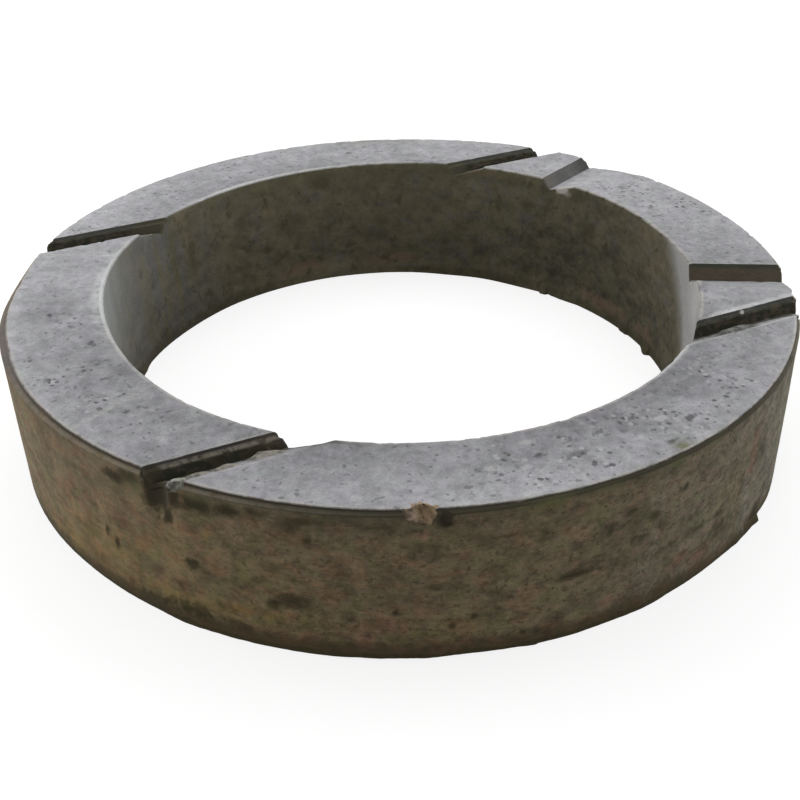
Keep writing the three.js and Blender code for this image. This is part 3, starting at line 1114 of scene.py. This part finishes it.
wall_paint = coat(
    wall_paint,
    (grey_and_lit_side * drips.ramp(0.52, 0.68) * 0.45, EARTH_OLIVE),
    (grey_and_lit_side * drips.ramp(0.44, 0.32) * 0.6, WALL_BARE),
    (rust_patch * 0.75, RUST),
    (rust_line * 0.8, FOOT_RUST),
)
calm = 1 - warm_side * 0.65
wall_light = blotch.ramp(0.32, 0.68) * 0.44 + (speckle.ramp(0.32, 0.68) - 0.5) * calm * 0.40
wall_light = wall_light + smudge.ramp(0.3, 0.7) * 0.26
wall_light = wall_light + (scratch.ramp(0.35, 0.65) - 0.5) * calm * 0.14 + 0.65
wall_paint = shaded(wall_paint, wall_light)
dark_edge = ragged * 2.2 + gritty * 1.2
dark_core = (mark("dark") + dark_edge * 0.35).ramp(0.55, 0.95)
dark_patch = (mark("dark") * 1.3 + dark_edge - 0.30).ramp(-0.05, 0.60)
dark_patch = (dark_patch * mark("dark").ramp(0.05, 0.5)).higher(dark_core)
small_spots = smudge.ramp(0.38, 0.28).higher(hole_noise.ramp(0.36, 0.28))
small_spots = small_spots.higher(wall_fleck.ramp(0.40, 0.33)) * calm * 0.6
# Dark spots near the foot, and a dark line along the foot that is painted shadow. The foot's lowest reach is
# darkened by dirt and painted shade.
foot_spots_and_shadow = (up + uneven * 0.03).ramp(0.024, 0.006) * break_up.ramp(0.50, 0.38) * 0.65
foot_spots_and_shadow = foot_spots_and_shadow.higher((up + ragged * 0.012).ramp(0.0085, 0.0035))
foot_dirt_and_shade = (up + ragged * 0.02).ramp(0.020, 0.009) * mark("dark_foot")
wall_dirt_and_shade = (dark_patch * 0.9).higher(small_spots).higher(foot_spots_and_shadow).higher(foot_dirt_and_shade * 0.65)
under_rim = thin_strip * (up + ragged * 0.014).ramp(0.137, 0.144)
wall_paint = coat(
    wall_paint,
    (wall_fleck.ramp(0.60, 0.68) * calm * 0.5, tinted(wall_paint, FLECK_LIGHT)),
    (wall_dirt_and_shade * 0.85, DARK_STAIN_AND_SHADE),
    (dark_core * 0.65, DARK_STAIN_AND_SHADE_CORE),
    (under_rim * 0.30, BORE_MOSS),
)

# Bore: olive and darker towards the foot, with grey runs. Near bearing 164 it is pale, partly
# bare concrete and partly painted light, and a reach beside the front right groove is painted light.
bore_light = blotch.ramp(0.30, 0.70) * 0.42 + speckle.ramp(0.3, 0.7) * 0.26 + up * 3.4 + 0.40
bore_light = bore_light - mark("dark_bore") * 0.42
bore_light = bore_light + mark("bore_foot") * up.ramp(0.035, 0.010) * 0.60 + mark("mid_bore") * up * 2.0
pale_light = speckle * 0.3 + 0.85 + mark("lit_lip") * up.ramp(0.095, 0.125) * 0.35
bore_grey = mark("mid_bore").higher(tint.ramp(0.52, 0.62) * 0.5) * drips.ramp(0.36, 0.58)
bore_paint = coat(
    shaded(BORE_OLIVE, bore_light),
    (bore_grey, shaded(BORE_GREY, bore_light)),
    ((break_up.ramp(0.44, 0.33) * 0.55).higher(dark_patch * 0.45), DARK_STAIN_AND_SHADE),
    (rust_patch * 0.45, RUST),
    (mark("bare_and_lit_bore"), shaded(BORE_BARE_AND_LIT, drips * 0.5 + 0.75)),
    (mark("lit_bore") * mark("lit_bore"), shaded(BORE_LIT, pale_light)),
    (mark("moss") * break_up.ramp(0.3, 0.6), BORE_MOSS),
    (foot_band * (0.6 - mark("bore_foot") * 0.40), DARK_STAIN_AND_SHADE),
)

# Walls of the grooves and notches. Their dark paint is partly earth and partly painted shade.
in_groove = mark("groove").ramp(0.02, 0.2)
crevice = in_groove * (smudge.ramp(0.60, 0.42) * 0.65 + 0.35)
grey_wall = blend(outwards.ramp(0.40, 0.0), NOTCH_GREY, NOTCH_BUFF)
grey_wall = blend(outwards.ramp(0.72, 0.98), grey_wall, GROOVE_BLACK)
notch_paint = shaded(blend(mark("grey_notch"), GROOVE_BROWN, grey_wall), smudge * 0.7 + 0.65)
green_lip = (sunk + ragged * 0.3).ramp(0.40, 0.15) * (1 - mark("grey_notch"))
open_groove = mark("open_end") * near_bore
groove_paint = coat(
    notch_paint,
    (green_lip, NOTCH_GREEN),
    (crevice, GROOVE_BLACK),
    (in_groove * sunk.ramp(0.275, 0.235), blend(clean_ledge, GROOVE_GREY, GROOVE_STRIP)),
    (clean_ledge * outwards.ramp(0.24, 0.08) * 0.6, GROOVE_EARTH),
    (open_groove, BORE_OLIVE),
)

# The faces together, with the rim strip, its ledge, and the grooves.
thin_line = thin_strip * mark("wall") * up.ramp(RING_HEIGHT - 0.0072, RING_HEIGHT - 0.0042)
strip = (mark("strip") * (break_up * 0.5 + 0.6)).higher(thin_line * 0.85)
ledge_light = ledge * break_up.ramp(0.3, 0.6) * (0.6 - thin_strip * 0.6) * (1 - far_strip)
wall_moss = mark("moss") * mark("wall") * break_up.ramp(0.32, 0.46)
bare_slope = clean_ledge * outwards.ramp(0.55, 0.30) * 0.30 + mark("bare_groove") * 0.40
slope_dirt_and_shade = (sunk + ragged * 1.3 - bare_slope).ramp(0.42, 0.80)
slope_dirt_and_shade = mark("slope") * mark("groove") * slope_dirt_and_shade
steep_dirt_and_shade = mark("steep").ramp(0.02, 0.20) * mark("grime_and_shade")
pale_ledge = mark("groove_ledge").ramp(0.75, 0.95) * break_up.ramp(0.38, 0.56) * 0.8
colour = coat(
    wall_paint,
    (mark("bore").ramp(0.2, 0.8), bore_paint),
    ((mark("top") + ragged * 0.3).ramp(0.3, 0.6), top_paint),
    (strip, blend(far_strip, STRIP_DARK, STRIP_GREY)),
    # Painted shade on the ledge in the narrow reach of the strip, where the ledge faces up.
    ((ledge * thin_strip * 1.6).lower(0.95), LEDGE_SHADE),
    (ledge * far_strip * 0.8, STRIP_GREY),
    (ledge_light, LEDGE_BROWN),
    (wall_moss * 0.85, MOSS_TINT),
    (open_groove * sunk.ramp(0.04, 0.20), bore_paint),
    # The steep walls and deeper slopes of the cuts: dirt and painted shade.
    (steep_dirt_and_shade.higher(slope_dirt_and_shade * 0.9), groove_paint),
    (pale_ledge * (clean_ledge * 0.85 + 0.15), LEDGE_BROWN),
)

# Arrises: worn pale, with painted highlights along reaches of the bore edge and on the front
# right groove's top edge.
not_steep = 1 - mark("steep").ramp(0.02, 0.15)
arris = mark("edge") * not_steep * sunk.ramp(0.35, 0.12) * (1 - open_groove)
arris = arris * (1 - mark("crumb").higher(mark("pale_crumb")) * 0.8)
lip_highlight = mark("cut_highlight") * outwards.ramp(0.04, 0.14) * (break_up * 1.2 - 0.1)
bright = (mark("edge_highlight") * near_bore).higher(lip_highlight)
open_shade = open_groove * (1 - mark("bore")) * sunk.ramp(0.04, 0.20)
dark_lip = mark("dark_lip") * (mark("edge") * near_bore).higher(outwards.ramp(0.080, 0.055))
colour = coat(
    colour,
    (arris * break_up.ramp(0.30, 0.62) * 0.8, blend(tint.ramp(0.42, 0.58), PALE_EDGE, PINK_EDGE)),
    (arris * bright, EDGE_HIGHLIGHT),
    ((mark("cut_lip") * lip_highlight * 1.3).lower(0.75) * not_steep, EDGE_HIGHLIGHT),
    (open_shade * 0.6, NOTCH_GREEN),
    ((mark("notch_lip") + ragged * 0.4).ramp(0.20, 0.60) * 0.85, PINK_EDGE),
    (dark_lip * (break_up + 0.4).lower(0.9), HOLLOW_DARK),
)

# Hollows, mortar, the pebble and the two scoops of the chip.
# The hollows and the groove's dark end are painted darker than their concrete, partly as painted shade
# inside them.
hollow_dark = mark("hollow").higher(mark("dark_end")) + ragged * 1.2
crumb_cover = mark("crumb").ramp(0.1, 0.6) * (1 - mark("edge") * 0.5)
mortar_paint = blend(speckle.ramp(0.42, 0.58), CREST_DARK, CREST_GREY)
colour = coat(
    colour,
    (hollow_dark.ramp(0.2, 0.9), HOLLOW_DARK),
    (crumb_cover, blend(speckle.ramp(0.42, 0.58), CRUMB_DARK, CRUMB_GREY)),
    (mark("pale_crumb").ramp(0.2, 0.8), blend(speckle.ramp(0.42, 0.56), CRUMB_DARK, CRUMB_PALE)),
    (mark("pebble").ramp(0.5, 0.9), PEBBLE),
    (mark("groove_mortar").ramp(0.1, 0.7), mortar_paint),
)
for name, clean, dark_start, dark_end in (
    ("pink_break", BREAK_PINK, 0.54, 0.40),
    ("ochre_break", BREAK_OCHRE, 0.50, 0.36),
):
    scoop_paint = blend(speckle.ramp(dark_start, dark_end) * 0.7, clean, BREAK_DARK)
    colour = blend((mark(name) + ragged).ramp(0.3, 0.8), colour, scoop_paint)

colour = shaded(colour, fine_grain.ramp(0.2, 0.8) * 0.20 + 0.90)
relief = fine_grain * 0.25 + fleck * (0.5 - mark("top") * 0.25)
relief = relief + break_up * (0.5 - mark("top") * 0.2) - holes * 0.6
bump = {"Strength": BUMP_STRENGTH, "Distance": BUMP_DEPTH, "Height": relief}
paint.links.new(colour.socket, surface.inputs["Base Color"])
paint.links.new((fine_grain * 0.2 + 0.78).socket, surface.inputs["Roughness"])
paint.links.new(lay_node(paint, "ShaderNodeBump", bump).socket, surface.inputs["Normal"])

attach(ring, "root")
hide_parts("culvert_ring")


# ---------------------------------------------------------------------------------------
# Floor
# A plain pale studio floor. It shows nearly white, a little whiter far from the ring, and
# keeps the ring's soft shadow. The light that it sends back up is that of a grey floor.

FLOOR_HALF = 8.0
FLOOR_GREY = (0.35, 0.35, 0.35, 1)
FLOOR_GLOW = 0.77
FLOOR_GLOW_FAR = 0.88
GLOW_RISES_FROM, GLOW_RISES_TO = 1.0, 3.5


def seen_by_camera(tree):
    """1 for a ray of the camera, and for one that gloss or glass sends on, else 0."""
    rays = tree.nodes.new("ShaderNodeLightPath").outputs
    seen = Field(tree, rays["Is Camera Ray"]).higher(Field(tree, rays["Is Glossy Ray"]))
    return seen.higher(Field(tree, rays["Is Transmission Ray"]))


floor_mesh = bpy.data.meshes.new("floor")
floor_corners = [(sx * FLOOR_HALF, sy * FLOOR_HALF, 0) for sx, sy in ((-1, -1), (1, -1), (1, 1), (-1, 1))]
floor_mesh.from_pydata(floor_corners, [], [(0, 1, 2, 3)])
floor = add_object("floor", floor_mesh)

floor_paint = bpy.data.materials.new("floor_paint")
floor_paint.use_nodes = True
tree = floor_paint.node_tree
tree.nodes.clear()
matt = lay_node(tree, "ShaderNodeBsdfDiffuse", {"Color": FLOOR_GREY})
floor_spot = lay_node(tree, "ShaderNodeTexCoord", {}, output=3)
from_middle = lay_node(tree, "ShaderNodeVectorMath", {0: floor_spot}, output=1, operation="LENGTH")
far_share = from_middle.ramp(GLOW_RISES_FROM, GLOW_RISES_TO)
floor_glow = far_share * (FLOOR_GLOW_FAR - FLOOR_GLOW) + FLOOR_GLOW
glow = lay_node(tree, "ShaderNodeEmission", {"Strength": floor_glow})
lit = lay_node(tree, "ShaderNodeAddShader", {0: matt, 1: glow})
floor_shader = lay_node(tree, "ShaderNodeMixShader", {0: seen_by_camera(tree), 1: matt, 2: lit})
tree.links.new(floor_shader.socket, tree.nodes.new("ShaderNodeOutputMaterial").inputs[0])
floor_mesh.materials.append(floor_paint)


# ---------------------------------------------------------------------------------------
# Light
# An even pale sky, and three large soft lamps: one high behind the ring and one on each
# side of it.

CAMERA_BEARING = -115.0
WHITE = (1, 1, 1, 1)
SKY_FILL = 0.48
world = bpy.data.worlds.new("studio")
bpy.context.scene.world = world
world.use_nodes = True
sky = world.node_tree
sky.nodes.clear()
fill = lay_node(sky, "ShaderNodeBackground", {"Color": WHITE, "Strength": SKY_FILL})
white = lay_node(sky, "ShaderNodeBackground", {"Color": WHITE, "Strength": 1.0})
backdrop = lay_node(sky, "ShaderNodeMixShader", {0: seen_by_camera(sky), 1: fill, 2: white})
sky.links.new(backdrop.socket, sky.nodes.new("ShaderNodeOutputWorld").inputs[0])


def way(bearing, elevation):
    """The direction of a bearing and an elevation, one metre long."""
    turn = math.radians(bearing)
    lift = math.radians(elevation)
    return Vector((math.cos(lift) * math.cos(turn), math.cos(lift) * math.sin(turn), math.sin(lift)))


def hang_lamp(name, bearing, elevation, distance, width, power):
    """A square soft lamp facing the ring. Bearing 0 is the camera's right, 90 behind the ring."""
    place = distance * way(CAMERA_BEARING + 90 + bearing, elevation)
    data = bpy.data.lights.new(name, "AREA")
    data.size = width
    data.energy = power
    lamp = add_object(name, data)
    lamp.location = place
    lamp.rotation_euler = (-place).to_track_quat("-Z", "Y").to_euler()


hang_lamp("lamp_back", 90, 62, 2.6, 2.2, 22)
hang_lamp("lamp_left", 172, 28, 2.6, 1.6, 19)
hang_lamp("lamp_right", 10, 32, 2.6, 1.6, 12)


# ---------------------------------------------------------------------------------------
# Camera
# It stands in front of the ring, about a metre and a quarter from its foot's middle, and
# looks down on it.

CAMERA_ELEVATION = 32.402
CAMERA_DISTANCE = 1.2441
CAMERA_YAW = -0.056
CAMERA_PITCH = 32.828
CAMERA_ROLL = -0.786
CAMERA_LENS = 49.757
SENSOR_WIDTH = 36

camera_data = bpy.data.cameras.new("camera")
camera_data.sensor_width = SENSOR_WIDTH
camera_data.sensor_fit = "HORIZONTAL"
camera_data.lens = CAMERA_LENS
camera = add_object("camera", camera_data)
bpy.context.scene.camera = camera
stand = Matrix.Translation(CAMERA_DISTANCE * way(CAMERA_BEARING, CAMERA_ELEVATION))
facing = Matrix.Rotation(math.radians(CAMERA_BEARING + 90 - CAMERA_YAW), 4, "Z")
tilt = Matrix.Rotation(math.pi / 2 - math.radians(CAMERA_PITCH), 4, "X")
roll = Matrix.Rotation(math.radians(CAMERA_ROLL), 4, "Z")
camera.matrix_world = stand @ facing @ tilt @ roll

bpy.context.scene.view_settings.view_transform = "Standard"
